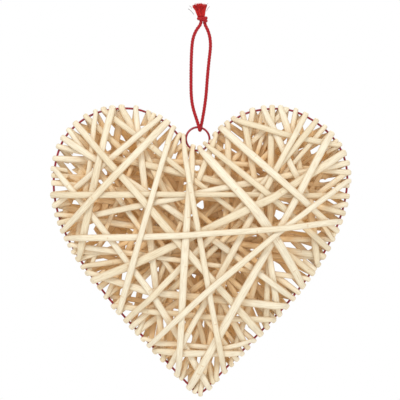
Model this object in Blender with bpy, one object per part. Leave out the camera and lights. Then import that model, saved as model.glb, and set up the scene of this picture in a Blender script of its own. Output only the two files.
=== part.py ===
"""Woven willow heart hung by a red cord, as CAD solids.

The origin is the crotch of the cord loop, just under its knot, where a nail bears. X points to the viewer's
right, Z up, and the front of the heart looks along -Y. Sizes below are in millimetres, and metres only in the mesh.
"""

import functools
import itertools
import math

import bmesh
import bpy
import numpy as np

MM = 0.001

# Each kind of piece: its colour, roughness and metallic value
WILLOW = ("peeled_willow", (0.78, 0.62, 0.40), 0.48, 0.0)
WIRE = ("crimson_coated_wire", (0.30, 0.012, 0.025), 0.35, 0.0)
CORD = ("red_cord", (0.55, 0.015, 0.02), 0.8, 0.0)

# The wire frame: its route from the notch over the left lobe, down to the tip and back up the right lobe,
# as places right of the nail and above it
WIRE_DIAMETER = 1.4
RIM_POINTS = [
    (-3.4, -82), (-8.7, -81.5), (-13.1, -78), (-16.5, -71), (-28, -61), (-47, -54.3), (-72, -58.3),
    (-90.5, -74.5), (-97, -100), (-92.8, -127), (-78.5, -154.5), (-55, -185), (-28, -214), (-12, -231),
    (-2.3, -239), (8, -230), (31, -206), (58, -177), (80, -145.5), (91.8, -116), (92.7, -89.5), (80.5, -69),
    (57, -55.5), (31, -56.5), (13.6, -66.6), (5.4, -76.2), (1.1, -80.4),
]
RIM_STEPS = 24
OUTWARD_STEP = 0.3
WIRE_SEGMENT = 9.0
WIRE_SIDES_RESOLUTION = 1
RING_CENTRE = (-3.4, -74.1)
RING_RADIUS = 7.7
RING_STEPS = 18
RING_CROSSING = WIRE_DIAMETER + 0.4
RING_ENTRY = -40.0
RING_EXIT = -457.0
RIM_LEFT_END = 1.3
RIM_RIGHT_END = 98.3
RIM_EASING = 0.7

# The willow strips
STRIP_WIDTH = 4.8
STRIP_THICKNESS = 1.5
STRIP_GAP = 0.35
SIDE_GAP = 0.3
SECTION_SPOTS = 5
WRAP_GAP = 0.4
WRAP_NARROWING = 0.86
WRAP_STEPS = 2
SHARED_REACH = 3.2
SHARED_NARROWING = 0.66
SQUARE_LENGTH = 7.0
PUFF = 3.0
PUFF_PLACES = (0.25, 0.5, 0.75)
SAMPLE_STEP = 1.2
LAYING_ROUNDS = 2
STEEPEST = 2.0
SHORTEST_SPAN = 0.3
SHARPEST_TURN = 0.7
SQUARE_SPACING = 0.8
CLOSEST_STATIONS = 0.5
TAIL_LENGTH = 85.0
TAIL_MARGIN = 13.0
TAIL_SLOPE = 0.3
TAIL_ANGLES = (0, -12, 12, -24, 24, -36, 36, -48, 48)
WEAVE_CELL = 3.0
PASSES_PER_STRAND = 4
RIM_MARGIN = 14.0
RIM_SAMPLES = 12
OUTSIDE_COST = 60.0
NEAR_RIM_COST = 8.0
SHORT_COST = 1000.0
NOTCH_STATIONS = 4.0
LONG_ENOUGH = 110.0
LEAST_DROP = 0.38

# Each front pass, from the lowest layer to the top one: the two places on the rim that it joins, in hundredths
# of the rim's length from the notch over the left lobe, its bow in millimetres and its width against the usual one
FRONT_PASSES = [
    (92.6, 50.0, 0, 0.9), (19.4, 79.0, 2, 1), (88.0, 54.5, 3, 0.9), (69.6, 25.4, 0, 1),
    (13.8, 64.95, -3, 0.9), (2.9, 35.6, 0, 0.85), (95.6, 52.3, 2, 1), (31.6, 75.6, -5, 1),
    (9.9, 57.0, 0, 1), (89.6, 68.6, 4, 1.1), (18.1, 74.65, 2, 1), (97.3, 40.7, 0, 0.9),
    (16.1, 55.3, 0, 0.9), (84.5, 39.8, 3, 0.9), (12.7, 29.7, 2, 0.9), (28.9, 66.7, 0, 0.85),
    (90.5, 60.0, 0, 1), (8.4, 44.6, 0, 1), (93.7, 61.9, 0, 1), (36.9, 61.0, -2, 0.9),
    (17.1, 64.1, 2, 1), (67.5, 11.8, 0, 1), (32.4, 63.0, -6, 1.1), (80.0, 26.3, 0, 1),
    (5.7, 24.4, 0, 1), (58.0, 41.6, 7, 0.9), (20.5, 51.1, 6, 1), (71.7, 91.4, 2, 1),
    (43.4, 56.1, -1, 1), (82.1, 94.75, 2, 1), (10.9, 30.6, 0, 1.1), (85.6, 38.9, 4, 1),
    (23.3, 76.5, 1, 0.95), (86.9, 45.6, 0, 1), (70.6, 98.8, -1, 1), (33.4, 81.1, -6, 1.2),
    (15.1, 59.0, 0, 1.1), (83.5, 48.7, 0, 1.15), (96.4, 72.7, 0, 1.1), (4.8, 27.2, 0, 1.1),
    (46.8, 0.6, 0, 1.1), (53.5, 1.9, 0, 1), (65.8, 99.7, -5, 1.3), (78.1, 42.5, -4, 0.95),
    (28.1, 73.7, -3, 1), (3.9, 37.7, 0, 1),
]

# The cord, its knot and its frayed ends
CORD_DIAMETER = 1.9
CORD_GAP = 0.5
CORD_STEP = 5.2
HOOK_STEP = 1.4
HOOK_LENGTH = 4.0
HOOK_LEFT = -2.6
HOOK_RIGHT = -1.4
HOOK_STEPS = 7
CORD_SPREAD_DROP = 55.0
CORD_SPREAD_AT_KNOT = 0.25
CORD_SIDES_RESOLUTION = 2
CORD_SMOOTHING = 3
CORD_LEFT = [(-1.6, 0.2), (-4.6, -3.6), (-6.7, -9.0), (-7.4, -16.0), (-7.7, -25.0), (-7.8, -36.0), (-7.7, -46.5),
             (-6.6, -54.0), (-4.3, -61.0)]
CORD_RIGHT = [(-0.3, -61.0), (0.9, -54.0), (2.1, -45.0), (2.9, -33.0), (4.0, -22.0), (5.0, -14.0), (4.6, -8.0),
              (3.1, -3.2), (1.3, 0.2)]
KNOT_SIDES = 12
KNOT_CENTRE_X = -0.3
KNOT_PROFILE = [
    (1.7, 1.2, 1.0), (2.3, 3.2, 2.2), (4.0, 4.1, 2.8), (5.6, 2.9, 2.2), (6.4, 1.9, 1.6),
    (8.5, 2.7, 2.1), (11.5, 4.2, 3.2), (14.2, 5.2, 3.9),
]


def catmull_rom(points, steps):
    """A smooth closed curve through the points, as an array."""
    points = np.array(points, float)
    before = np.roll(points, 1, axis=0)
    after = np.roll(points, -1, axis=0)
    beyond = np.roll(points, -2, axis=0)
    curve = []
    for p0, p1, p2, p3 in zip(before, points, after, beyond):
        for t in np.arange(steps) / steps:
            curve.append(
                0.5 * (2 * p1 + (p2 - p0) * t + (2 * p0 - 5 * p1 + 4 * p2 - p3) * t**2
                       + (3 * p1 - p0 - 3 * p2 + p3) * t**3)
            )
    return np.array(curve)


class Rim:
    """The heart's outline, read by station: hundredths of its length from the notch over the left lobe."""

    def __init__(self):
        curve = catmull_rom(RIM_POINTS, RIM_STEPS)
        self.closed = np.vstack([curve, curve[:1]])
        steps = np.linalg.norm(np.diff(self.closed, axis=0), axis=1)
        self.along = np.concatenate([[0], np.cumsum(steps)])
        self.length = self.along[-1]

    def point(self, station):
        distance = (station % 100) / 100 * self.length
        return np.array([np.interp(distance, self.along, self.closed[:, k]) for k in (0, 1)])

    def outward(self, station):
        ahead = self.point(station + OUTWARD_STEP) - self.point(station - OUTWARD_STEP)
        return np.array([ahead[1], -ahead[0]]) / np.linalg.norm(ahead)

    def holds(self, points):
        """Which of the points lie inside the outline."""
        inside = np.zeros(len(points), bool)
        x, z = points[:, 0], points[:, 1]
        for (x0, z0), (x1, z1) in zip(self.closed[:-1], self.closed[1:]):
            if z0 == z1:
                continue
            crossing = x0 + (z - z0) * (x1 - x0) / (z1 - z0)
            inside ^= ((z0 > z) != (z1 > z)) & (x < crossing)
        return inside


RIM = Rim()


def upper_hull(points):
    """The points of a rising-then-falling line that a taut strip over all of them would touch."""
    hull = []
    for point in sorted(points):
        while len(hull) > 1:
            (x1, y1), (x2, y2) = hull[-2:]
            if (x2 - x1) * (point[1] - y1) - (y2 - y1) * (point[0] - x1) < 0:
                break
            hull.pop()
        hull.append(point)
    return hull


def thinned(line, length):
    """The line without the points between the rims whose loss hardly lowers it."""
    line = list(line)
    while True:
        drops = []
        for index in range(1, len(line) - 1):
            (u0, h0), (u1, h1), (u2, h2) = line[index - 1 : index + 2]
            if 0 < u1 < length:
                drops.append((h1 - h0 - (h2 - h0) * (u1 - u0) / (u2 - u0), index))
        if not drops or min(drops)[0] > LEAST_DROP:
            return line
        line.pop(min(drops)[1])


def turned(vector):
    return np.array([-vector[1], vector[0]])


class Pass:
    """One crossing of the heart, on one side: its plan, and the height of its middle above the mid-plane."""

    def __init__(self, start, end, width, bow=0.0, tail=False, backwards=False):
        self.stations = (start, end)
        self.width = width
        self.tail = tail
        self.backwards = backwards
        self.start = RIM.point(start)
        self.out_start = RIM.outward(start)
        self.wrap_start = Wrap(start)
        if tail:
            self.end = end
            self.out_end = None
            self.wrap_end = None
        else:
            self.end = RIM.point(end)
            self.out_end = RIM.outward(end)
            self.wrap_end = Wrap(end)
        self.length = np.linalg.norm(self.end - self.start)
        self.bow = bow
        self.line = (self.end - self.start) / self.length

    def meets_notch(self):
        return not self.tail and min(min(s, 100 - s) for s in self.stations) < NOTCH_STATIONS

    def plan(self, u):
        """Place in the plan at distance u from the start's rim."""
        if u < 0:
            return self.start - self.out_start * u
        if u > self.length:
            return self.end + self.out_end * (u - self.length)
        t = u / self.length
        return self.start + (self.end - self.start) * t + turned(self.line) * self.bow * math.sin(math.pi * t)

    def across(self, u):
        """The strip's width direction in the plan: square to its run, but along the wire at the rim."""
        t = min(max(u / self.length, 0), 1)
        slope = self.bow * math.pi / self.length * math.cos(math.pi * t)
        run = self.line + turned(self.line) * slope
        square = turned(run / np.linalg.norm(run))
        if u < SQUARE_LENGTH:
            along = turned(-self.out_start) * self.wrap_start.narrowing
            mix = max(u, 0) / SQUARE_LENGTH
        elif not self.tail and u > self.length - SQUARE_LENGTH:
            along = turned(self.out_end) * self.wrap_end.narrowing
            mix = max(self.length - u, 0) / SQUARE_LENGTH
        else:
            return square * self.width
        return (along * (1 - mix) + square * mix) * self.width

    def settle(self, earlier):
        """Lays the strip taut over the wire, a slight dome and every earlier strip on this side."""
        points = [(-out, height) for out, height in self.wrap_start.corners()]
        if not self.tail:
            points += [(self.length + out, height) for out, height in self.wrap_end.corners()]
            for t in PUFF_PLACES:
                points.append((self.length * t, self.wrap_end.radius + PUFF * 4 * t * (1 - t)))
        hull = upper_hull(points)
        for _ in range(LAYING_ROUNDS):
            hull = upper_hull(points + self.obstacles(earlier, hull))
        if self.tail:
            hull = self.with_free_end(hull)
        self.line_points = self.with_square_stations(thinned(hull, self.length))

    def with_free_end(self, hull):
        """The line of a strip with a cut end, which stands nearly straight on past the last thing it bears on."""
        line = [point for point in hull if point[0] < self.length - SAMPLE_STEP / 2]
        need = hull[-1][1] if len(line) < len(hull) else 0
        while line[-2][0] > 0 and line[-1][1] - line[-2][1] < -TAIL_SLOPE * (line[-1][0] - line[-2][0]):
            line.pop()
        (u0, h0), (u1, h1) = line[-2:]
        slope = min(max((h1 - h0) / (u1 - u0), -TAIL_SLOPE), TAIL_SLOPE) if u0 > 0 else 0
        return line + [(self.length, max(need, h1 + slope * (self.length - u1)))]

    def with_square_stations(self, hull):
        """Adds the places on the line where the strip has turned square to its run."""
        u, h = np.array(hull).T
        places = [0.0, SQUARE_LENGTH]
        if not self.tail:
            places += [self.length - SQUARE_LENGTH, self.length]
        kept = list(hull)
        for place in places:
            if np.abs(u - place).min() > SQUARE_SPACING:
                kept.append((place, float(np.interp(place, u, h))))
        kept.sort()
        merged = [kept[0]]
        for point in kept[1:]:
            beyond_rim = point[0] <= 0 or point[0] >= self.length
            if beyond_rim or point[0] - merged[-1][0] > CLOSEST_STATIONS:
                merged.append(point)
        return merged

    def obstacles(self, earlier, line):
        """The least height at each place where the strip would meet an earlier one, as (distance, height).

        The line so far gives the strip's slope, and with it how far its underside reaches down.
        """
        if not earlier:
            return []
        slopes = np.abs(np.diff([h for _, h in line]) / np.diff([u for u, _ in line]))
        starts, ends, low, high, reach, rise = (np.concatenate(parts) for parts in zip(*(e.segments for e in earlier)))
        found = []
        run = ends - starts
        run_length = np.maximum((run**2).sum(axis=1), 1e-9)
        for u in np.linspace(0, self.length, round(self.length / SAMPLE_STEP)):
            middle = self.plan(u)
            half = self.across(u) / 2
            spots = middle + np.linspace(-1, 1, SECTION_SPOTS)[:, None] * half
            offset = spots[:, None, :] - starts
            t = np.clip((offset * run).sum(axis=2) / run_length, 0, 1)
            distance = np.linalg.norm(offset - t[:, :, None] * run, axis=2)
            slope = max((s for s, (u0, _), (u1, _) in zip(slopes, line[:-1], line[1:])
                         if u0 - SAMPLE_STEP < u < u1 + SAMPLE_STEP), default=0)
            own = STRIP_THICKNESS / 2 * math.sqrt(1 + min(slope, STEEPEST) ** 2)
            height = low + (high - low) * t + rise + own + STRIP_GAP
            height = np.where(distance < reach + SIDE_GAP, height, 0)
            worst = float(height.max())
            if worst > 0:
                found.append((float(u), worst))
        return found

    def finish(self):
        """Keeps the settled strip's plan segments, for later strips to be laid over."""
        plan = np.array([self.plan(u) for u, _ in self.line_points])
        height = np.array([h for _, h in self.line_points])
        spans = np.linalg.norm(np.diff(plan, axis=0), axis=1)
        slope = np.abs(np.diff(height)) / np.maximum(spans, SHORTEST_SPAN)
        rise = STRIP_THICKNESS / 2 * np.sqrt(1 + np.minimum(slope, STEEPEST) ** 2)
        reach = np.full(len(spans), self.width / 2)
        self.segments = (plan[:-1], plan[1:], height[:-1], height[1:], reach, rise)


class Wrap:
    """How a strip turns over the rim, wider and narrower where it also takes in the ring's wire."""

    def __init__(self, station):
        self.radius = WIRE_DIAMETER / 2 + WRAP_GAP + STRIP_THICKNESS / 2
        self.reach = 0.0
        self.narrowing = WRAP_NARROWING
        offset = RIM.point(station) - RING_CENTRE
        toward = -offset.dot(RIM.outward(station))
        inside = toward**2 - offset.dot(offset) + RING_RADIUS**2
        if inside > 0 and toward - math.sqrt(inside) < SHARED_REACH:
            self.radius += RING_CROSSING / 2
            self.reach = max(0, toward - math.sqrt(inside))
            self.narrowing = SHARED_NARROWING

    def corners(self):
        """Distances out past the rim's line and heights, from the outermost place to the one over the wire."""
        found = []
        for k in range(WRAP_STEPS + 1):
            angle = math.pi / 2 * k / WRAP_STEPS
            found.append((self.reach + self.radius * math.cos(angle), self.radius * math.sin(angle)))
        if self.reach > SHORTEST_SPAN:
            found.append((0.0, self.radius))
        return found


@functools.cache
def back_cost(leave, enter):
    """How badly a back pass between two places on the rim would run: short, near the rim or outside it."""
    a, b = RIM.point(leave), RIM.point(enter)
    length = np.linalg.norm(b - a)
    cost = max(0, LONG_ENOUGH - length)
    if length < 4 * RIM_MARGIN:
        return cost + SHORT_COST
    ends = RIM_MARGIN / length
    samples = a + np.linspace(ends, 1 - ends, RIM_SAMPLES)[:, None] * (b - a)
    cost += OUTSIDE_COST * np.count_nonzero(~RIM.holds(samples))
    nearest = np.linalg.norm(samples[:, None, :] - RIM.closed, axis=2).min(axis=1)
    return cost + NEAR_RIM_COST * np.maximum(0, RIM_MARGIN - nearest).sum()


def best_chain(rows):
    """The order and the directions of one strand's front passes that leave it the best passes on the back."""
    best = None
    for order in itertools.permutations(rows):
        for flips in itertools.product((False, True), repeat=len(rows)):
            chain = [(b, a, -bow, share) if flip else (a, b, bow, share)
                     for flip, (a, b, bow, share) in zip(flips, order)]
            cost = sum(back_cost(one[1], two[0]) for one, two in zip(chain[:-1], chain[1:]))
            if best is None or cost < best[0]:
                best = (cost, chain)
    return best[1]


class Weave:
    """How many strips cover each small cell inside the outline, seen from the front."""

    def __init__(self, passes):
        low, high = RIM.closed.min(axis=0), RIM.closed.max(axis=0)
        across, up = (np.arange(a, b, WEAVE_CELL) for a, b in zip(low, high))
        cells = np.array([(x, z) for x in across for z in up])
        self.cells = cells[RIM.holds(cells)]
        self.layers = np.zeros(len(self.cells))
        for strip in passes:
            self.add(strip)

    def under(self, strip):
        """Which cells the strip covers."""
        line = np.array([strip.plan(u) for u in np.linspace(0, strip.length, round(strip.length / WEAVE_CELL))])
        return np.linalg.norm(self.cells[:, None, :] - line, axis=2).min(axis=1) < strip.width / 2

    def add(self, strip):
        self.layers[self.under(strip)] += 1

    def gain(self, strip):
        """How much a strip would close: bare cells count most, then those with one layer."""
        covered = self.layers[self.under(strip)]
        return 4 * np.count_nonzero(covered == 0) + np.count_nonzero(covered == 1)


def strands():
    """Winds every strand and returns, for each, its passes in order with the side each is on."""
    wound = []
    for first in range(0, len(FRONT_PASSES), PASSES_PER_STRAND):
        chain = best_chain(FRONT_PASSES[first : first + PASSES_PER_STRAND])
        passes = []
        for index, (enter, leave, bow, share) in enumerate(chain):
            width = STRIP_WIDTH * share
            passes.append((1, Pass(enter, leave, width, bow)))
            if index + 1 < len(chain):
                passes.append((-1, Pass(leave, chain[index + 1][0], width)))
        wound.append(passes)
    weave = Weave([strip for passes in wound for _, strip in passes])
    for passes in wound:
        first, last = passes[0][1], passes[-1][1]
        passes.insert(0, (-1, tail_pass(first.stations[0], first.width, weave, backwards=True)))
        passes.append((-1, tail_pass(last.stations[1], last.width, weave)))
    layers = {frozenset(row[:2]): layer for layer, row in enumerate(FRONT_PASSES)}
    front = [strip for passes in wound for side, strip in passes if side > 0]
    front.sort(key=lambda strip: layers[frozenset(strip.stations)])
    back = [strip for passes in wound for side, strip in passes if side < 0]
    back.sort(key=lambda strip: (not strip.tail, not strip.meets_notch()))
    for laid in (front, back):
        for index, strip in enumerate(laid):
            strip.settle(laid[:index])
            strip.finish()
    return wound


def tail_pass(station, width, weave, backwards=False):
    """The end of a strand, tucked in on the back from where it turned over the wire to where the weave is thin."""
    inward = -RIM.outward(station)
    best = None
    for angle in TAIL_ANGLES:
        cos, sin = math.cos(math.radians(angle)), math.sin(math.radians(angle))
        direction = inward * cos + turned(inward) * sin
        length = clear_length(RIM.point(station), direction)
        tail = Pass(station, RIM.point(station) + direction * length, width, tail=True, backwards=backwards)
        gain = weave.gain(tail)
        if best is None or gain > best[0]:
            best = (gain, tail)
    weave.add(best[1])
    return best[1]


def clear_length(start, direction):
    """How far a tail can run from the rim before it comes near the rim again."""
    steps = np.arange(TAIL_MARGIN, TAIL_LENGTH, SAMPLE_STEP)
    places = start + steps[:, None] * direction
    near = np.linalg.norm(places[:, None, :] - RIM.closed, axis=2).min(axis=1) < TAIL_MARGIN
    stopped = near | ~RIM.holds(places)
    stopped[: round(TAIL_MARGIN / SAMPLE_STEP)] = False
    return steps[np.argmax(stopped)] if stopped.any() else TAIL_LENGTH


def strand_route(passes):
    """The strand's middle line with its width directions, as rows of (place, across)."""
    route = []
    for side, strip in passes:
        rows = []
        for u, h in strip.line_points:
            x, z = strip.plan(u)
            ax, az = strip.across(u)
            rows.append((np.array([x, -side * h, z]), side * np.array([ax, 0.0, az])))
        if strip.tail and strip.backwards:
            rows.reverse()
            rows = [(place, -across) for place, across in rows]
        route += rows if not route else rows[1:]
    return route


def strip_mesh(name, route):
    """A closed strip of rectangular section along the route."""
    mesh = bmesh.new()
    places = [place for place, _ in route]
    rings = []
    for index, (place, across) in enumerate(route):
        before = place - places[index - 1] if index else places[1] - place
        after = places[index + 1] - place if index + 1 < len(places) else before
        before = before / np.linalg.norm(before)
        after = after / np.linalg.norm(after)
        run = before + after
        run /= np.linalg.norm(run)
        normal = np.cross(run, across)
        normal /= np.linalg.norm(normal)
        lean = max(SHARPEST_TURN, abs(float(run.dot(after))))
        half_thick = normal * STRIP_THICKNESS / 2 / lean
        half_wide = across / 2
        corners = [half_wide + half_thick, -half_wide + half_thick, -half_wide - half_thick, half_wide - half_thick]
        rings.append([mesh.verts.new((place + corner) * MM) for corner in corners])
    for one, two in zip(rings[:-1], rings[1:]):
        for k in range(4):
            mesh.faces.new((one[k], one[(k + 1) % 4], two[(k + 1) % 4], two[k]))
    mesh.faces.new(reversed(rings[0]))
    mesh.faces.new(rings[-1])
    bmesh.ops.recalc_face_normals(mesh, faces=mesh.faces)
    data = bpy.data.meshes.new(name)
    mesh.to_mesh(data)
    mesh.free()
    place_object(name, data, WILLOW)


def material(look):
    """The material of one kind of piece, made when the first such piece needs it."""
    name, colour, roughness, metallic = look
    made = bpy.data.materials.get(name)
    if made is None:
        made = bpy.data.materials.new(name)
        made.use_nodes = True
        shader = made.node_tree.nodes["Principled BSDF"]
        shader.inputs["Base Color"].default_value = (*colour, 1)
        shader.inputs["Roughness"].default_value = roughness
        shader.inputs["Metallic"].default_value = metallic
    return made


def place_object(name, data, look):
    data.materials.append(material(look))
    made = bpy.data.objects.new(name, data)
    bpy.context.scene.collection.objects.link(made)


def tube(name, points, diameter, resolution, closed, look):
    """A round tube along the points, as a curve with a bevel."""
    curve = bpy.data.curves.new(name, "CURVE")
    curve.dimensions = "3D"
    curve.bevel_depth = diameter / 2 * MM
    curve.bevel_resolution = resolution
    curve.use_fill_caps = not closed
    spline = curve.splines.new("POLY")
    spline.points.add(len(points) - 1)
    spline.use_cyclic_u = closed
    for point, place in zip(spline.points, points):
        point.co = (*(np.array(place) * MM), 1)
    place_object(name, curve, look)


def wire_points():
    """The frame's wire: round the heart, then once round the ring above the notch, as one closed line."""
    depth = RING_CROSSING / 2
    level = np.linspace(RIM_LEFT_END + RIM_EASING, RIM_RIGHT_END - RIM_EASING, round(RIM.length / WIRE_SEGMENT))
    rows = [(RIM_LEFT_END, depth)] + [(station, 0.0) for station in level] + [(RIM_RIGHT_END, -depth)]
    points = []
    for station, y in rows:
        x, z = RIM.point(station)
        points.append((x, y, z))
    for angle in np.linspace(RING_ENTRY, RING_EXIT, RING_STEPS + 1):
        share = (angle - RING_ENTRY) / (RING_EXIT - RING_ENTRY)
        x = RING_CENTRE[0] + RING_RADIUS * math.cos(math.radians(angle))
        z = RING_CENTRE[1] + RING_RADIUS * math.sin(math.radians(angle))
        points.append((x, depth * (2 * share - 1), z))
    return points


def cord_points():
    """The cord: down in front of the ring's top, under its wire and up behind."""
    bend = WIRE_DIAMETER / 2 + CORD_GAP + CORD_DIAMETER / 2
    top = RING_CENTRE[1] + RING_RADIUS
    left = [(x, -bend * leg_spread(z), z) for x, z in CORD_LEFT]
    right = [(x, bend * leg_spread(z), z) for x, z in CORD_RIGHT]
    hook = []
    for t in np.linspace(0, 1, HOOK_STEPS):
        x = HOOK_LEFT + (HOOK_RIGHT - HOOK_LEFT) * t
        hook.append((x, -bend * math.cos(math.pi * t), top - bend * math.sin(math.pi * t)))
    line = smooth_line(left + hook + right, CORD_SMOOTHING)
    kept = [line[0]]
    for place in line[1:]:
        step = HOOK_STEP if place[2] < top + HOOK_LENGTH else CORD_STEP
        if np.linalg.norm(place - kept[-1]) >= step:
            kept.append(place)
    if np.linalg.norm(line[-1] - kept[-1]) < CORD_DIAMETER:
        kept.pop()
    return kept + [line[-1]]


def leg_spread(height):
    """How far the cord's legs stand apart in depth, as a share of what the ring's wire asks."""
    return min(1, CORD_SPREAD_AT_KNOT - height / CORD_SPREAD_DROP)


def smooth_line(points, rounds):
    """Cuts the corners of an open line, keeping its ends."""
    points = np.array(points, float)
    for _ in range(rounds):
        cut = [points[0]]
        for a, b in zip(points[:-1], points[1:]):
            cut += [0.75 * a + 0.25 * b, 0.25 * a + 0.75 * b]
        cut.append(points[-1])
        points = np.array(cut)
    return points


def knot_mesh(name):
    """The knot and the frayed ends above it, turned from one profile with an oval section."""
    mesh = bmesh.new()
    rings = []
    for height, half_x, half_y in KNOT_PROFILE:
        ring = []
        for k in range(KNOT_SIDES):
            angle = math.tau * k / KNOT_SIDES
            place = (KNOT_CENTRE_X + half_x * math.cos(angle), half_y * math.sin(angle), height)
            ring.append(mesh.verts.new(np.array(place) * MM))
        rings.append(ring)
    for one, two in zip(rings[:-1], rings[1:]):
        for k in range(KNOT_SIDES):
            mesh.faces.new((one[k], one[(k + 1) % KNOT_SIDES], two[(k + 1) % KNOT_SIDES], two[k]))
    mesh.faces.new(reversed(rings[0]))
    mesh.faces.new(rings[-1])
    data = bpy.data.meshes.new(name)
    mesh.to_mesh(data)
    mesh.free()
    data.shade_smooth()
    place_object(name, data, CORD)


def build():
    for thing in list(bpy.data.objects):
        bpy.data.objects.remove(thing)
    tube("wire_frame", wire_points(), WIRE_DIAMETER, WIRE_SIDES_RESOLUTION, True, WIRE)
    for number, passes in enumerate(strands(), start=1):
        strip_mesh(f"willow_strand_{number:02d}", strand_route(passes))
    tube("hanging_cord", cord_points(), CORD_DIAMETER, CORD_SIDES_RESOLUTION, False, CORD)
    knot_mesh("cord_knot")


build()
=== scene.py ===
"""Dresses the woven willow heart: peeled half-round strips, coated wire and a twisted cord with its knot.

Routes and sizes are in millimetres, but for the view, the light and the floor, and MM turns them into metres
where a mesh is made. The origin is the fork of the cord loop, X is the viewer's right, Z is up, and the front
looks along -Y. A place round the heart is a share of its outline's length, from the notch over the left lobe,
or a station, which is a hundredth of that length.
"""

import math
from itertools import permutations

import bpy
import numpy as np
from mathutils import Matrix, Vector


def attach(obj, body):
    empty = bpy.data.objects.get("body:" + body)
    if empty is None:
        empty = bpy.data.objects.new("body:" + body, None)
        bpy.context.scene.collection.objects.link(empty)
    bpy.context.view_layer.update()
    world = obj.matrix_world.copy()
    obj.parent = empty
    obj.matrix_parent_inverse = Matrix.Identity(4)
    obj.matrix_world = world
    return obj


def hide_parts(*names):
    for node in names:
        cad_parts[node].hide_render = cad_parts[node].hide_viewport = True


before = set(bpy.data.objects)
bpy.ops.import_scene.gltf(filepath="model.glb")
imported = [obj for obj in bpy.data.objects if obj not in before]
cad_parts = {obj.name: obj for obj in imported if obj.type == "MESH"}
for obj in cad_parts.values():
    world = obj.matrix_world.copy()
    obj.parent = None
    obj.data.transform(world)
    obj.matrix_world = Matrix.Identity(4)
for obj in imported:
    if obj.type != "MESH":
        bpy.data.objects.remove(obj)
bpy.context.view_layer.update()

MM = 0.001
MERGE_DISTANCE = 1e-7

# The view, in metres: the heart's plane fills a square of this width, and the camera looks level at it
VIEW_WIDTH = 260 * MM
VIEW_CENTRE = (-1.95 * MM, -113.75 * MM)
VIEW_DISTANCE = 1.5
SENSOR = 36.0

# The light and the floor, in metres: each lamp's name, place, size and watts
SKY_LIGHT = 0.85
LAMPS = [
    ("key", (-0.35, -1.1, 0.75), 0.4, 6.8),
    ("fill", (0.9, -1.1, -0.1), 0.8, 2.0),
    ("back", (0.5, 1.2, 0.8), 0.8, 6.0),
]
FLOOR_HEIGHT = -0.42
FLOOR_RADIUS = 0.85
FLOOR_SIDES = 96

# The wire, with the same route as its solid: places right of the nail and above it
WIRE_DIAMETER = 1.4
WIRE_SIDES = 12
RIM_POINTS = [
    (-3.4, -82), (-8.7, -81.5), (-13.1, -78), (-16.5, -71), (-28, -61), (-47, -54.3), (-72, -58.3),
    (-90.5, -74.5), (-97, -100), (-92.8, -127), (-78.5, -154.5), (-55, -185), (-28, -214), (-12, -231),
    (-2.3, -239), (8, -230), (31, -206), (58, -177), (80, -145.5), (91.8, -116), (92.7, -89.5), (80.5, -69),
    (57, -55.5), (31, -56.5), (13.6, -66.6), (5.4, -76.2), (1.1, -80.4),
]
RIM_STEPS = 24
OUTWARD_STEP = 0.003
RING_CENTRE = (-3.4, -74.1)
RING_RADIUS = 7.7
RING_CROSSING = WIRE_DIAMETER + 0.4
RING_ENTRY = -40.0
RING_EXIT = -457.0
RING_STEPS = 72
RIM_LEFT_END = 1.3
RIM_RIGHT_END = 98.3
RIM_EASING = 0.7
WIRE_STEP = 0.9
WIRE_SMOOTHING = 1.6

# The cord, with the same route as its solid and its two ends inside the knot
CORD_DIAMETER = 1.9
CORD_GAP = 0.5
IN_KNOT_LEFT = [(-0.9, 5.4), (-1.2, 2.6)]
CORD_LEFT = [
    (-1.6, 0.2), (-4.6, -3.6), (-6.7, -9.0), (-7.4, -16.0), (-7.7, -25.0), (-7.8, -36.0), (-7.7, -46.5),
    (-6.6, -54.0), (-4.3, -61.0),
]
CORD_RIGHT = [
    (-0.3, -61.0), (0.9, -54.0), (2.1, -45.0), (2.9, -33.0), (4.0, -22.0), (5.0, -14.0), (4.6, -8.0),
    (3.1, -3.2), (1.3, 0.2),
]
IN_KNOT_RIGHT = [(0.9, 2.6), (0.3, 5.4)]
HOOK_LEFT = -2.6
HOOK_RIGHT = -1.4
HOOK_STEPS = 7
CORD_SPREAD_DROP = 55.0
CORD_SPREAD_AT_KNOT = 0.25
CORD_SMOOTHING = 3
CORD_STEP = 0.35
PLIES = 3
PLY_SHARE = 0.62
PLY_OFFSET = 0.58
PLY_SIDES = 8
TWIST_PITCH = 5.6
NEVER_ALONG = (0.0, 1.0, 0.02)

# The knot
KNOT_CENTRE = (-0.45, 0.0, 3.9)
KNOT_REACH = (2.45, 1.9)
KNOT_TURNS = 2
KNOT_SPREAD = 0.95
KNOT_TILT = -0.12
KNOT_STEPS = 120

# The frayed ends above the knot, and the loose threads beside them
FRAY_FOOT = (-1.2, 0.0, 5.0)
FRAY_TOP = (-2.2, 0.0, 14.6)
FRAY_FOOT_REACH = (2.2, 1.3)
FRAY_TOP_REACH = (4.9, 3.3)
FRAY_COUNT = 280
FRAY_DARK_SHARE = 0.3
FRAY_STEPS = 12
FRAY_RADIUS = 0.2
FRAY_TIP_SHARE = 0.6
FRAY_UNEVEN = 2.4
FRAY_ROUND_TOP = 1.2
FRAY_BELLY = 1.1
FRAY_CRIMP = (0.1, 0.28)
FRAY_CRIMP_TURNS = 2.6
THREAD_SIDES = 4
LOOSE_THREADS = [
    ((-9.6, 10.5), (-5.9, 6.8)), ((-8.8, 12.4), (-7.2, 10.7)),
    ((3.3, 14.1), (1.6, 11.2)), ((4.3, 12.0), (2.3, 9.0)),
]
LOOSE_RADIUS = 0.17
LOOSE_STEPS = 8
LOOSE_SWAY = 0.8
LOOSE_SWAY_TURN = 3
LOOSE_ARCH = 0.5
CORD_SEED = 7

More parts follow.
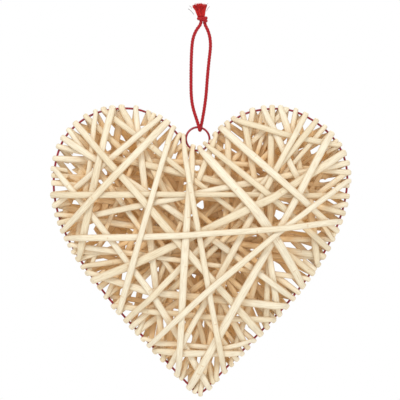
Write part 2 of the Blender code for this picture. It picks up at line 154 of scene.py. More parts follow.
# The willow strips: how high the half-round section rises on its outer side and how deep its flat side is,
# and how the line read from each solid is smoothed, less near the wire than in the runs
CROWN = 1.1
FLAT = 0.62
SECTION_SIDES = 14
SECTION_SHOULDERS = 0.85
SECTION_FLATNESS = 0.6
SMOOTH_SHADED = 60.0
READ_STEP = 0.5
RUN_STEP = 1.5
WRAP_STEP = 0.45
WRAP_TURN = 25.0
WRAP_NEAR = 3.5
WRAP_FAR = 11.0
WRAP_SMOOTHING = 0.9
RUN_SMOOTHING = 6.0
PLACE_SMOOTHING = 0.7
WIDTH_SMOOTHING_LEAST = 2.0
FACING_SMOOTHING = 0.5
FACING_SMOOTHING_LEAST = 1.0
STRIP_SEED = 21

# What differs along each strip, with the length over which it changes
WIDTH_SHARE = 0.88
WIDTH_CHANGE = 0.10
WIDTH_WAVE = 38.0
WIDTH_RIPPLE = 9.0
THICKNESS_CHANGE = 0.10
THICKNESS_WAVE = 50.0
TWIST_CHANGE = 7.0
TWIST_WAVE = 45.0
WANDER = 0.28
WANDER_WAVE = 30.0
TONE_CHANGE = 0.6
TONE_WAVE = 160.0
TONE_SPOTTING = 0.4
TONE_SPOT = 20.0
TONE_SPREAD = 0.5
NOISE_GAIN = 1.6
END_LENGTH = 7.0
END_THINNING = 0.45
END_SLANT = 0.5
GRAIN_UNIT = 10.0
GRAIN_OFFSETS = 50.0

# How deep a place lies in the weave, read on square cells at these shares of each strip's width; the willow's
# colour paints this depth as shade
WEAVE_CELL = 1.3
WEAVE_EDGE = 8.0
WEAVE_READINGS = (-0.4, -0.15, 0.15, 0.4)
NEAR_REACH = 4.0
PAINTED_SHADE_FROM = 1.2
PAINTED_SHADE_FULL = 12.0
FACING_CONTRAST = 1.2
# How sharply the painted shade gathers at each strip's edges
EDGE_SHADE_SHARPNESS = 6

# Beside the ring the wire slants across one strip's way. The solid turns square to the wire there, but the
# real strip goes straight on, up past the wire and down behind it. Its places are right of the nail, behind
# it and above it.
EYE_SIDE = (-10.5, -75.6)
EYE_SIDE_REACH = 4.4
EYE_WRAP = [
    (-12.6, -6.0, -77.6), (-12.7, -1.9, -72.2), (-12.7, 0.0, -71.3), (-12.8, 1.9, -72.2), (-13.1, 2.8, -74.5),
    (-13.6, 3.0, -77.6),
]
EYE_WRAP_TURN = (-80, -45, 0, 45, 80, 90)
EYE_WRAP_WIDTH = 3.5

# The finer strips deep inside. They start and end at the other strips' wraps, or where those leave the wire
# free and each of the bare places is at least BARE_ROOM away. None crosses the gaps, whose places are right of
# the nail and above it: they are the ones of the photo's gaps that the solids leave open too.
INNER_MOST = 30
INNER_WIDTHS = (3.0, 4.4)
INNER_LEVELS = (0.55, 1.0)
INNER_CROWN = 0.8
INNER_FLAT = 0.4
INNER_WRAP = 1.3
INNER_WRAP_TURN = (-90, -45, 0, 45, 90)
INNER_TUCK = 9.0
INNER_BELOW = 1.4
INNER_DIP = 12.0
INNER_STEP = 4.0
INNER_EVENING = 12.0
INNER_SHORTEST = 60.0
INNER_MARGIN = 9.0
INNER_RIM_GAP = 7.2
INNER_READINGS = 14
END_FIRST = 0.012
END_STEP = 0.002
WRAP_ROOM = 0.0055
BARE_ROOM = 0.0035
GAPS = [(-65, -63), (-47.5, -132.5), (55, -60.5)]
GAP_REACH = 3.6
COVER_CELL = 3.0
COVER_STRIDE = 4
BARE_WORTH = -2.0
THIN_WORTH = 1.6
THICK_WORTH = 0.2
OWN_WRAP_WORTH = 12.0

# Single places on the bare stretches of the photo's wire, read in pixels from its left and its top,
# with a pixel's size on the heart and the nail's own pixel
PIXEL = 0.65
NAIL_PIXEL = (203, 25)
BARE_PLACES = [
    (181, 140), (176.7, 134), (142, 111), (134.4, 108.5), (127.8, 108.5), (118.6, 108), (110, 110),
    (102, 110),
    (92, 114.4), (85, 119), (81, 122), (73.7, 127.7), (68.6, 133.6), (62.4, 141), (59, 150), (55.5, 161),
    (53.5, 178), (54.5, 187), (54.5, 198), (57, 208), (58.5, 216.5), (62.5, 224.6), (73, 246), (82, 262.6),
    (97, 285), (102, 291), (109, 299), (113, 303), (123.3, 314.7), (132.5, 324), (137.5, 330), (149, 344),
    (161, 355), (167, 361), (172.8, 367), (184, 381), (192.6, 388), (220, 374.4), (225.7, 368.8),
    (231.8, 360.6), (239, 356.3), (245, 347.9), (253, 341), (260.4, 332), (268, 323.9), (281, 311.5),
    (289.5, 302.8), (292, 297), (296, 293), (303.8, 283.4), (306.3, 277.8), (316.5, 264), (323, 254),
    (326, 246.5), (331.6, 239.7), (335.3, 228), (340, 216.7), (342, 208.7), (345.3, 189), (345.3, 170),
    (344.8, 161.6), (342, 156), (333.3, 139), (328.7, 133), (324, 129.5), (318, 123), (306, 116.6),
    (298.8, 112.8), (292.5, 110), (281.6, 110), (273, 109), (265.3, 109.7), (256.3, 111), (247, 113),
    (233, 122), (228, 126), (219, 134), (214.4, 140),
]


# Small tools


def select_alone(obj):
    bpy.ops.object.select_all(action="DESELECT")
    obj.select_set(True)
    bpy.context.view_layer.objects.active = obj


def in_edit_mode(obj, *steps):
    """Runs edit-mode operators on the whole of one object."""
    select_alone(obj)
    bpy.ops.object.mode_set(mode="EDIT")
    bpy.ops.mesh.select_all(action="SELECT")
    for step in steps:
        step()
    bpy.ops.object.mode_set(mode="OBJECT")


def merge_doubles():
    bpy.ops.mesh.remove_doubles(threshold=MERGE_DISTANCE)


def close_ends():
    bpy.ops.mesh.fill_holes(sides=0)


def point_outwards():
    bpy.ops.mesh.normals_make_consistent(inside=False)


def keep_attribute(mesh, name, values):
    mesh.attributes.new(name, "FLOAT", "POINT").data.foreach_set("value", values)


def unit(vectors):
    return vectors / np.linalg.norm(vectors, axis=-1, keepdims=True)


def lengths_along(points):
    return np.concatenate([[0], np.cumsum(np.linalg.norm(np.diff(points, axis=0), axis=1))])


def read_at(places, along, values):
    return np.stack([np.interp(places, along, values[:, k]) for k in range(values.shape[1])], axis=1)


def averaged(along, values, reach):
    """The values, each averaged over its own reach to both sides, which shrinks towards the ends."""
    reach = np.minimum(reach, np.minimum(along - along[0], along[-1] - along))
    steps = np.diff(along)[:, None]
    total = np.vstack([np.zeros(values.shape[1]), np.cumsum((values[1:] + values[:-1]) / 2 * steps, axis=0)])
    upper = read_at(along + reach, along, total)
    lower = read_at(along - reach, along, total)
    wide = reach > 1e-3
    return np.where(wide[:, None], (upper - lower) / np.where(wide, 2 * reach, 1)[:, None], values)


def smooth_noise(rng, places, scale):
    """A wavering value between about -1 and 1 along the places, that turns about once in each scale."""
    count = int((places[-1] - places[0]) / scale) + 6
    knots = rng.uniform(-1, 1, count)
    x = (places - places[0]) / scale + 1
    base = np.floor(x).astype(int)
    t = x - base
    weights = ((1 - t) ** 3, 3 * t**3 - 6 * t**2 + 4, 1 + 3 * t + 3 * t**2 - 3 * t**3, t**3)
    nearby = (knots[np.clip(base + step, 0, count - 1)] for step in (-1, 0, 1, 2))
    return sum(weight * knot for weight, knot in zip(weights, nearby)) / 6 * NOISE_GAIN


# The materials


class Value:
    """A socket in a finish, on which plain arithmetic adds Math nodes."""

    def __init__(self, finish, socket):
        self.finish = finish
        self.socket = socket

    def maths(self, operation, *others):
        sockets = dict(enumerate((self, *others)))
        return self.finish.node("ShaderNodeMath", {"operation": operation}, sockets)

    def __add__(self, other):
        return self.maths("ADD", other)

    __radd__ = __add__

    def __mul__(self, other):
        return self.maths("MULTIPLY", other)

    __rmul__ = __mul__

    def __sub__(self, other):
        return self.maths("SUBTRACT", other)

    def __rsub__(self, other):
        return (self * -1) + other

    def clipped(self):
        return self.maths("MINIMUM", 1.0).maths("MAXIMUM", 0.0)


class Finish:
    """One material, built from nodes."""

    def __init__(self, name, **plain):
        self.material = bpy.data.materials.new(name)
        self.material.use_nodes = True
        self.tree = self.material.node_tree
        self.shader = self.tree.nodes["Principled BSDF"]
        for socket, value in plain.items():
            self.shader.inputs[socket.replace("_", " ")].default_value = value

    def node(self, kind, settings, sockets, output=0):
        """Adds a node: its settings first, then what its sockets hold, and gives one of its outputs."""
        node = self.tree.nodes.new(kind)
        for name, value in settings.items():
            if name == "stops":
                self.place_stops(node.color_ramp, value)
            else:
                setattr(node, name, value)
        for name, value in sockets.items():
            self.feed(node.inputs[name], value)
        return Value(self, node.outputs[output])

    def place_stops(self, ramp, stops):
        while len(ramp.elements) < len(stops):
            ramp.elements.new(0.5)
        for element, (place, colour) in zip(ramp.elements, stops):
            element.position = place
            element.color = (*colour, 1)

    def feed(self, socket, value):
        if isinstance(value, Value):
            self.tree.links.new(value.socket, socket)
        else:
            socket.default_value = value

    def surface(self, colour, roughness):
        self.feed(self.shader.inputs["Base Color"], colour)
        self.feed(self.shader.inputs["Roughness"], roughness)

    def attribute(self, name):
        return self.node("ShaderNodeAttribute", {"attribute_name": name}, {}, "Fac")

    def stretched(self, source, scale):
        """Coordinates for a pattern, stretched along each axis."""
        return self.node("ShaderNodeMapping", {}, {"Vector": source, "Scale": scale})

    def noise(self, where, scale, detail=3.0, roughness=0.5):
        sockets = {"Vector": where, "Scale": scale, "Detail": detail, "Roughness": roughness}
        return self.node("ShaderNodeTexNoise", {}, sockets, "Fac")

    def ramp(self, value, *stops):
        return self.node("ShaderNodeValToRGB", {"stops": stops}, {"Fac": value}, "Color")

    def blend(self, share, first, second, kind="MIX"):
        settings = {"data_type": "RGBA", "blend_type": kind}
        return self.node("ShaderNodeMix", settings, {0: share, 6: first, 7: second}, 2)

    def bump(self, height, strength, distance):
        sockets = {"Height": height, "Strength": strength, "Distance": distance}
        self.feed(self.shader.inputs["Normal"], self.node("ShaderNodeBump", {}, sockets))


def peeled_willow():
    """Peeled willow: cream outside, with long fine grain, and painted shade: tan to orange-brown where strips
    lie over it, darker along each strip's edges.
    """
    finish = Finish("peeled_willow", IOR=1.45)
    strip = finish.node("ShaderNodeUVMap", {"uv_map": "strip"}, {})
    burial = finish.attribute("burial")
    tone = finish.attribute("tone")
    edge = finish.attribute("edge")
    fibres = finish.noise(finish.stretched(strip, (1.3, 30.0, 1.0)), 1.0, 5.0, 0.62)
    bands = finish.noise(finish.stretched(strip, (0.7, 3.0, 1.0)), 1.0, 2.0)
    spots = finish.noise(finish.stretched(strip, (4.0, 2.2, 1.0)), 1.0, 1.0)
    # Painted shade: the deeper a place lies in the weave, the more tan to orange-brown it turns, with random
    # bands and tone mixed in
    depth = (burial + (bands - 0.5) * 0.24 + tone * 0.10).clipped()
    colour = finish.ramp(
        depth, (0.0, (0.85, 0.78, 0.61)), (0.25, (0.89, 0.80, 0.61)), (0.5, (0.94, 0.81, 0.58)),
        (0.8, (0.97, 0.79, 0.52)), (1.0, (0.98, 0.73, 0.41)),
    )
    streak = finish.ramp(fibres, (0.34, (0.66, 0.54, 0.42)), (0.56, (1.0, 1.0, 1.0)))
    colour = finish.blend(0.55, colour, streak, "MULTIPLY")
    tint = finish.ramp(
        tone * 0.5 + 0.5, (0.2, (0.95, 0.90, 0.82)), (0.5, (1.0, 0.98, 0.95)), (0.8, (1.0, 1.0, 1.0)),
    )
    colour = finish.blend(1.0, colour, tint, "MULTIPLY")
    buds = finish.ramp(spots, (0.70, (0, 0, 0)), (0.76, (1, 1, 1)))
    colour = finish.blend(buds * 0.45, colour, (0.62, 0.38, 0.17, 1))
    # Painted shade: darker along each strip's edges, where it turns away and meets the strips beside it
    colour = finish.blend(edge * 0.55, colour, (0.56, 0.36, 0.18, 1))
    finish.surface(colour, fibres * 0.18 + 0.36)
    finish.bump(fibres, 0.5, 0.0002)
    return finish.material


def coated_wire():
    """Iron wire with a thin crimson plastic coat, glossy where it isn't rubbed."""
    finish = Finish("coated_wire", IOR=1.5)
    where = finish.node("ShaderNodeTexCoord", {}, {}, "Object")
    rubbed = finish.noise(where, 300.0, 3.0)
    colour = finish.ramp(rubbed, (0.35, (0.24, 0.004, 0.012)), (0.7, (0.36, 0.010, 0.022)))
    finish.surface(colour, rubbed * 0.25 + 0.2)
    finish.bump(rubbed, 0.2, 0.0001)
    return finish.material


def spun_cord(name, dark, bright):
    """Matt spun fibre, with fine fuzz in its colour."""
    finish = Finish(name, IOR=1.45)
    where = finish.node("ShaderNodeTexCoord", {}, {}, "Object")
    fuzz = finish.noise(where, 2600.0, 3.0, 0.7)
    colour = finish.ramp(fuzz, (0.32, dark), (0.68, bright))
    finish.surface(colour, fuzz * 0.2 + 0.7)
    finish.bump(fuzz, 0.7, 0.00025)
    return finish.material


# What every finished piece goes through


def dress(piece, material, slot, *nodes):
    """Gives a piece its material, puts it under the root and hides the solids that it stands for; its slot is
    not used.
    """
    piece.data.materials.clear()
    piece.data.materials.append(material)
    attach(piece, "root")
    if nodes:
        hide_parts(*nodes)
    return piece


def rods(name, lines, radius, sides, cyclic=False):
    """Round rods along the lines, made as one bevelled curve and turned into a mesh."""
    curve = bpy.data.curves.new(name, "CURVE")
    curve.dimensions = "3D"
    curve.bevel_depth = MM
    curve.bevel_resolution = (sides - 4) // 2
    curve.use_fill_caps = not cyclic
    for line in lines:
        spline = curve.splines.new("POLY")
        spline.points.add(len(line) - 1)
        spline.use_cyclic_u = cyclic
        spline.use_smooth = True
        for point, place, thickness in zip(spline.points, line, np.broadcast_to(radius, len(line))):
            point.co = (*(np.asarray(place) * MM), 1)
            point.radius = thickness
    made = bpy.data.objects.new(name, curve)
    bpy.context.scene.collection.objects.link(made)
    select_alone(made)
    bpy.ops.object.convert(target="MESH")
    made = bpy.context.view_layer.objects.active
    in_edit_mode(made, merge_doubles, point_outwards)
    bpy.ops.object.shade_smooth()
    return made


# The outline and the wire


def catmull_rom(points, steps):
    """A smooth closed curve through the points."""
    points = np.array(points, float)
    before, after, beyond = (np.roll(points, shift, axis=0) for shift in (1, -1, -2))
    t = (np.arange(steps) / steps)[:, None, None]
    curve = 0.5 * (2 * points + (after - before) * t + (2 * before - 5 * points + 4 * after - beyond) * t**2
                   + (3 * points - before - 3 * after + beyond) * t**3)
    return curve.transpose(1, 0, 2).reshape(-1, 2)


RIM = catmull_rom(RIM_POINTS, RIM_STEPS)
RIM = np.vstack([RIM, RIM[:1]])
RIM_ALONG = lengths_along(RIM)


def rim_spot(share):
    return read_at(np.array([share % 1 * RIM_ALONG[-1]]), RIM_ALONG, RIM)[0]


def rim_place(share):
    """The place at a share of the outline, and the direction out of the heart there."""
    ahead = rim_spot(share + OUTWARD_STEP) - rim_spot(share - OUTWARD_STEP)
    return rim_spot(share), unit(np.array([ahead[1], -ahead[0]]))


def inside_rim(places):
    """Which of the places lie inside the outline."""
    x, z = places[:, :1], places[:, 1:]
    (x0, z0), (x1, z1) = RIM[:-1].T, RIM[1:].T
    rise = np.where(z1 == z0, 1, z1 - z0)
    crossed = ((z0 > z) != (z1 > z)) & (x < x0 + (z - z0) * (x1 - x0) / rise)
    return crossed.sum(axis=1) % 2 == 1


def wire_line():
    """Once round the heart from the notch, then once round the ring, as a closed line of even steps."""
    stations = RIM_ALONG / RIM_ALONG[-1] * 100
    kept = (stations > RIM_LEFT_END) & (stations < RIM_RIGHT_END)
    depth = RING_CROSSING / 2
    eased = np.interp(
        stations[kept], [RIM_LEFT_END, RIM_LEFT_END + RIM_EASING, RIM_RIGHT_END - RIM_EASING, RIM_RIGHT_END],
        [depth, 0, 0, -depth],
    )
    heart = np.stack([RIM[kept, 0], eased, RIM[kept, 1]], axis=1)
    angles = np.radians(np.linspace(RING_ENTRY, RING_EXIT, RING_STEPS + 1))
    ring = np.stack([
        RING_CENTRE[0] + RING_RADIUS * np.cos(angles),
        np.linspace(-depth, depth, RING_STEPS + 1),
        RING_CENTRE[1] + RING_RADIUS * np.sin(angles),
    ], axis=1)
    line = np.vstack([heart, ring])
    overlap = len(ring)
    line = np.vstack([line[-overlap:], line, line[:overlap]])
    along = lengths_along(line)
    line = averaged(along, line, np.full(len(along), WIRE_SMOOTHING))
    start, end = along[overlap], along[-overlap - 1] + np.linalg.norm(heart[0] - ring[-1])
    places = np.linspace(start, end, round((end - start) / WIRE_STEP), endpoint=False)
    return read_at(places, along, line)


def make_wire():
    wire = rods("wire_heart", [wire_line()], WIRE_DIAMETER / 2, WIRE_SIDES, cyclic=True)
    dress(wire, coated_wire(), "wire", "wire_frame")


# The cord


def leg_spread(height):
    """How far the cord's legs stand apart in depth, as a share of what the ring's wire asks."""
    return min(1, CORD_SPREAD_AT_KNOT - height / CORD_SPREAD_DROP)


def cord_line():
    """The cord's middle: out of the knot, down in front of the ring's top, under its wire and up behind."""
    bend = WIRE_DIAMETER / 2 + CORD_GAP + CORD_DIAMETER / 2
    top = RING_CENTRE[1] + RING_RADIUS
    down = [(x, -bend * leg_spread(z), z) for x, z in IN_KNOT_LEFT + CORD_LEFT]
    back_up = [(x, bend * leg_spread(z), z) for x, z in CORD_RIGHT + IN_KNOT_RIGHT]
    hook = []
    for t in np.linspace(0, 1, HOOK_STEPS):
        x = HOOK_LEFT + (HOOK_RIGHT - HOOK_LEFT) * t
        hook.append((x, -bend * math.cos(math.pi * t), top - bend * math.sin(math.pi * t)))
    points = np.array(down + hook + back_up)
    for _ in range(CORD_SMOOTHING):
        near, far = points[:-1], points[1:]
        cuts = np.stack([0.75 * near + 0.25 * far, 0.25 * near + 0.75 * far], axis=1)
        points = np.vstack([points[:1], cuts.reshape(-1, 3), points[-1:]])
    along = lengths_along(points)
    return read_at(np.arange(0, along[-1], CORD_STEP), along, points)


def twisted(line):
    """The plies of the cord along the line: their own lines, and the radius that they share."""
    along = lengths_along(line)
    run = unit(np.gradient(line, axis=0))
    side = unit(np.cross(run, NEVER_ALONG))
    up = np.cross(side, run)
    plies = []
    for ply in range(PLIES):
        angle = math.tau * (along / TWIST_PITCH + ply / PLIES)
        away = side * np.cos(angle)[:, None] + up * np.sin(angle)[:, None]
        plies.append(line + away * CORD_DIAMETER / 2 * PLY_OFFSET)
    return plies, CORD_DIAMETER / 2 * PLY_SHARE


def knot_line():
    """The cord's turns round its own two legs: together at the left and one over the other at the right."""
    angle = np.linspace(math.pi, math.pi + KNOT_TURNS * math.tau, KNOT_STEPS)
    x, y = KNOT_REACH[0] * np.cos(angle), KNOT_REACH[1] * np.sin(angle)
    turn = np.clip((angle - math.pi) / math.tau - KNOT_TURNS / 2, -0.5, 0.5) * 2
    apart = KNOT_SPREAD * turn * (1 + np.cos(angle)) / 2
    return np.stack([x, y, KNOT_TILT * x + apart], axis=1) + np.array(KNOT_CENTRE)


def fray_lines(rng):
    """The untwisted fibres above the knot: from its top, fanning out and slightly crimped."""
    foot, top = np.array(FRAY_FOOT), np.array(FRAY_TOP)
    t = np.linspace(0, 1, FRAY_STEPS)[:, None]
    lines = []
    for _ in range(FRAY_COUNT):
        angle, out = rng.uniform(0, math.tau), math.sqrt(rng.uniform(0, 1))
        round_x, round_y = out * math.cos(angle), out * math.sin(angle)
        lower = rng.uniform(-FRAY_UNEVEN, 0.0) - FRAY_ROUND_TOP * out**2
        start = foot + (FRAY_FOOT_REACH[0] * round_x, FRAY_FOOT_REACH[1] * round_y, 0)
        end = top + (FRAY_TOP_REACH[0] * round_x, FRAY_TOP_REACH[1] * round_y, lower)
        line = start + (end - start) * t
        line[:, 2:] += FRAY_BELLY * out * np.sin(math.pi * t)
        phase, crimp = rng.uniform(0, math.tau), rng.uniform(*FRAY_CRIMP)
        turn = math.tau * FRAY_CRIMP_TURNS * t[:, 0] + phase
        line[:, 0] += crimp * np.sin(turn) * t[:, 0]
        line[:, 1] += crimp * np.cos(turn) * t[:, 0]
        lines.append(line)
    return lines


def loose_lines():
    """The threads that stand off beside the knot, each slightly bent."""
    lines = []
    for (x0, z0), (x1, z1) in LOOSE_THREADS:
        t = np.linspace(0, 1, LOOSE_STEPS)[:, None]
        line = np.array((x1, 0.0, z1)) + (np.array((x0, 0.0, z0)) - (x1, 0.0, z1)) * t
        line[:, 1] += LOOSE_SWAY * np.sin(LOOSE_SWAY_TURN * t[:, 0])
        line[:, 2] += LOOSE_ARCH * np.sin(math.pi * t[:, 0])
        lines.append(line)
    return lines


def make_cord():
    """The cord loop, the knot and what frays out of it."""
    red = spun_cord("red_cord", (0.27, 0.004, 0.008), (0.54, 0.010, 0.016))
    bright = spun_cord("bright_red_fibre", (0.50, 0.008, 0.008), (0.78, 0.03, 0.022))
    grey = spun_cord("grey_thread", (0.16, 0.12, 0.12), (0.30, 0.25, 0.25))
    line = cord_line()
    plies, radius = twisted(line)
    turns, radius = twisted(knot_line())
    cord = dress(rods("cord", plies, radius, PLY_SIDES), red, "cord", "hanging_cord")
    knot = dress(rods("knot", turns, radius, PLY_SIDES), red, "cord", "cord_knot")
    fibres = fray_lines(np.random.default_rng(CORD_SEED))
    dark_count = round(FRAY_COUNT * FRAY_DARK_SHARE)
    thinning = np.linspace(FRAY_RADIUS, FRAY_RADIUS * FRAY_TIP_SHARE, FRAY_STEPS)
    ends = dress(rods("frayed_ends", fibres[dark_count:], thinning, THREAD_SIDES), bright, "cord")
    dark_ends = dress(rods("dark_frayed_ends", fibres[:dark_count], thinning, THREAD_SIDES), red, "cord")
    threads = dress(rods("loose_threads", loose_lines(), LOOSE_RADIUS, THREAD_SIDES), grey, "cord")


# Reading a strand's solid


def strip_rings(node):
    """The corners of each station of a strip's solid, in order along it, read from how they are joined."""
    mesh = node.data
    points = np.array([vertex.co for vertex in mesh.vertices]) / MM
    _, first, same = np.unique(np.round(points, 4), axis=0, return_index=True, return_inverse=True)
    points = points[first]
    same = same.reshape(-1)
    joined = [set() for _ in points]
    for edge in mesh.edges:
        a, b = (same[v] for v in edge.vertices)
        if a != b:
            joined[a].add(b)
            joined[b].add(a)
    far_corner = next(iter(steps_away([0], joined)[-1]))
    for cap in four_cycles(far_corner, joined):
        rings = steps_away(cap, joined)
        if all(len(ring) == 4 for ring in rings):
            return aligned(points, cap, rings, joined)
    raise ValueError(f"{node.name} isn't a strip")


def steps_away(start, joined):
    """The corners no step, one step, two steps and so on away from the first ones."""
    found = [set(start)]
    seen = set(start)
    while True:
        nearby = set().union(*(joined[corner] for corner in found[-1])) - seen
        if not nearby:
            return found
        found.append(nearby)
        seen |= nearby


def four_cycles(corner, joined):
    """Each loop of four joined corners that starts at this one."""
    for a in joined[corner]:
        for b in joined[a] - {corner}:
            for c in joined[b] & joined[corner]:
                if c != a:
                    yield [corner, a, b, c]


def aligned(points, cap, rings, joined):
    """The rings' corners in one order, so that each corner is joined to the one before it along the strip."""
    order = list(cap)
    ordered = [points[order]]
    for ring in rings[1:]:
        best, least = None, math.inf
        for corners in permutations(ring):
            if all(corner in joined[before] for corner, before in zip(corners, order)):
                gap = ((points[list(corners)] - ordered[-1]) ** 2).sum()
                if gap < least:
                    best, least = corners, gap
        order = list(best)
        ordered.append(points[order])
    rings = np.array(ordered)
    first_side = np.linalg.norm(rings[:, 0] - rings[:, 1], axis=1).mean()
    second_side = np.linalg.norm(rings[:, 1] - rings[:, 2], axis=1).mean()
    return rings if first_side > second_side else np.roll(rings, -1, axis=1)


def solid_line(node):
    """A strand's rough line, from its solid: its middle, width and outer side at each of its stations."""
    rings = strip_rings(node)
    middle = rings.mean(axis=1)
    across = (rings[:, 0] - rings[:, 1] + rings[:, 3] - rings[:, 2]) / 2
    thick = (rings[:, 0] - rings[:, 3] + rings[:, 1] - rings[:, 2]) / 2
    outside = np.sign(middle[:, 1]) * (np.abs(middle[:, 1]) > WRAP_NEAR)
    if (thick[:, 1] * outside).sum() < 0:
        thick = -thick
    return past_the_eye(middle, across, thick)


def past_the_eye(middle, across, thick):
    """Leads the strip that wraps the wire at the ring's left straight on past it."""
    near = np.flatnonzero(np.linalg.norm(middle[:, [0, 2]] - EYE_SIDE, axis=1) < EYE_SIDE_REACH)
    if len(near) == len(EYE_WRAP):
        turn = np.radians(EYE_WRAP_TURN)
        middle[near] = EYE_WRAP
        across[near] = unit(across[near[0] - 1]) * EYE_WRAP_WIDTH
        thick[near] = np.stack([np.zeros(len(turn)), np.sin(turn), np.cos(turn)], axis=1)
    return middle, across, thick


# The strips


class Strip:
    """One strip along its rough line, smoothed: its middle, run, width and outer side at close steps."""

    def __init__(self, rough, rng, crown=CROWN, flat=FLAT):
        middle, across, thick = rough
        self.crown = crown
        self.flat = flat
        along = lengths_along(middle)
        runs = unit(np.diff(middle, axis=0))
        turns = np.degrees(np.arccos(np.clip((runs[1:] * runs[:-1]).sum(axis=1), -1, 1)))
        wraps = along[1:-1][turns > WRAP_TURN]
        self.along = np.arange(0, along[-1], READ_STEP)
        self.to_wrap = np.abs(self.along[:, None] - wraps).min(axis=1)
        ease = np.clip((self.to_wrap - WRAP_NEAR) / (WRAP_FAR - WRAP_NEAR), 0, 1)
        self.free = ease * ease * (3 - 2 * ease)
        reach = WRAP_SMOOTHING + (RUN_SMOOTHING - WRAP_SMOOTHING) * self.free
        self.place = read_at(self.along, along, middle)
        for _ in range(2):
            self.place = averaged(self.along, self.place, reach * PLACE_SMOOTHING)
        self.run = unit(np.gradient(self.place, axis=0))
        width = read_at(self.along, along, across) * WIDTH_SHARE
        width = averaged(self.along, width, np.maximum(reach, WIDTH_SMOOTHING_LEAST))
        self.width = np.linalg.norm(width, axis=1)
        self.side = unit(width - self.run * (width * self.run).sum(axis=1)[:, None])
        self.outer = np.cross(self.run, self.side)
        facing = read_at(self.along, along, unit(thick))
        facing = averaged(self.along, facing, np.maximum(reach * FACING_SMOOTHING, FACING_SMOOTHING_LEAST))
        if (self.outer * facing).sum() < 0:
            self.outer = -self.outer
        self.vary(rng)

    def vary(self, rng):
        """Gives the strip its own slight changes of width, thickness, twist, line and tone."""

        def waver(scale):
            return smooth_noise(rng, self.along, scale)

        self.width = self.width * (
            1 + WIDTH_CHANGE * waver(WIDTH_WAVE) + WIDTH_CHANGE / 3 * waver(WIDTH_RIPPLE)
        )
        self.thickness = 1 + THICKNESS_CHANGE * waver(THICKNESS_WAVE)
        twist = np.radians(TWIST_CHANGE) * waver(TWIST_WAVE) * self.free
        side, outer = self.side, self.outer
        self.side = side * np.cos(twist)[:, None] + outer * np.sin(twist)[:, None]
        self.outer = outer * np.cos(twist)[:, None] - side * np.sin(twist)[:, None]
        self.place = self.place + side * (WANDER * waver(WANDER_WAVE) * self.free)[:, None]
        self.tone = TONE_CHANGE * waver(TONE_WAVE) + TONE_SPOTTING * waver(TONE_SPOT)
        self.tone = self.tone + rng.uniform(-TONE_SPREAD, TONE_SPREAD)

    def passes(self):
        """Numbers each crossing of the heart, front ones and back ones, in turn."""
        behind = self.place[:, 1] > 0
        return np.concatenate([[0], np.cumsum(behind[1:] != behind[:-1])])

    def wrap_shares(self):
        """Where round the outline the strip turns over the wire."""
        shares = []
        for place in self.place[np.flatnonzero(np.diff(self.passes()))][:, [0, 2]]:
            gap = np.linalg.norm(RIM - place, axis=1)
            if gap.min() < 2 * WRAP_NEAR:
                shares.append(RIM_ALONG[gap.argmin()] / RIM_ALONG[-1])
        return shares

    def stations(self):
        """Where the mesh has a ring: closely round the wire and further apart in the runs."""
        kept, place = [], 0.0
        while place < self.along[-1]:
            kept.append(place)
            near = np.interp(place, self.along, self.to_wrap)
            place += WRAP_STEP if near < WRAP_NEAR else RUN_STEP
        kept[-1] = self.along[-1]
        return np.array(kept)


class Weave:
    """How far the strips reach to the front and the back round each place, and how near the middle."""

    def __init__(self, strips):
        self.low = RIM.min(axis=0) - WEAVE_EDGE
        shape = tuple(((RIM.max(axis=0) + WEAVE_EDGE - self.low) / WEAVE_CELL).astype(int) + 1)
        self.outer = [np.zeros(shape), np.zeros(shape)]
        self.inner = [np.full(shape, np.inf), np.full(shape, np.inf)]
        for strip in strips:
            for share in WEAVE_READINGS:
                spots = strip.place + strip.side * (strip.width * share)[:, None]
                cells = self.cell(spots)
                for outer, inner, facing in zip(self.outer, self.inner, (-1, 1)):
                    height = facing * spots[:, 1]
                    np.maximum.at(outer, cells, height)
                    np.minimum.at(inner, cells, np.where(height > 0, height, np.inf))
        self.outer = [self.spread(outer, np.max) for outer in self.outer]
        self.inner = [np.minimum(inner, outer) for inner, outer in zip(self.inner, self.outer)]
        self.inner = [self.spread(inner, np.min) for inner in self.inner]

    def cell(self, places):
        return tuple(((places[..., [0, 2]] - self.low) / WEAVE_CELL).astype(int).reshape(-1, 2).T)

    def spread(self, heights, most):
        """The highest or lowest near each cell, evened out a little."""
        steps = int(NEAR_REACH / WEAVE_CELL)
        for choose in (most, np.mean):
            for axis in (0, 1):
                heights = choose([np.roll(heights, step, axis) for step in range(-steps, steps + 1)], axis=0)
        return heights

    def burial(self, places, facing_back):
        """How deep the places lie below the outside that they face, from none at 0 to the deepest at 1, which
        the willow's colour turns into painted shade.
        """
        cells = self.cell(places)
        heights = places[..., 1].reshape(-1)
        front, back = (outer[cells] for outer in self.outer)
        front = np.clip((front + heights - PAINTED_SHADE_FROM) / PAINTED_SHADE_FULL, 0, 1)
        back = np.clip((back - heights - PAINTED_SHADE_FROM) / PAINTED_SHADE_FULL, 0, 1)
        share = facing_back.reshape(-1)
        return (front * (1 - share) + back * share).reshape(facing_back.shape)


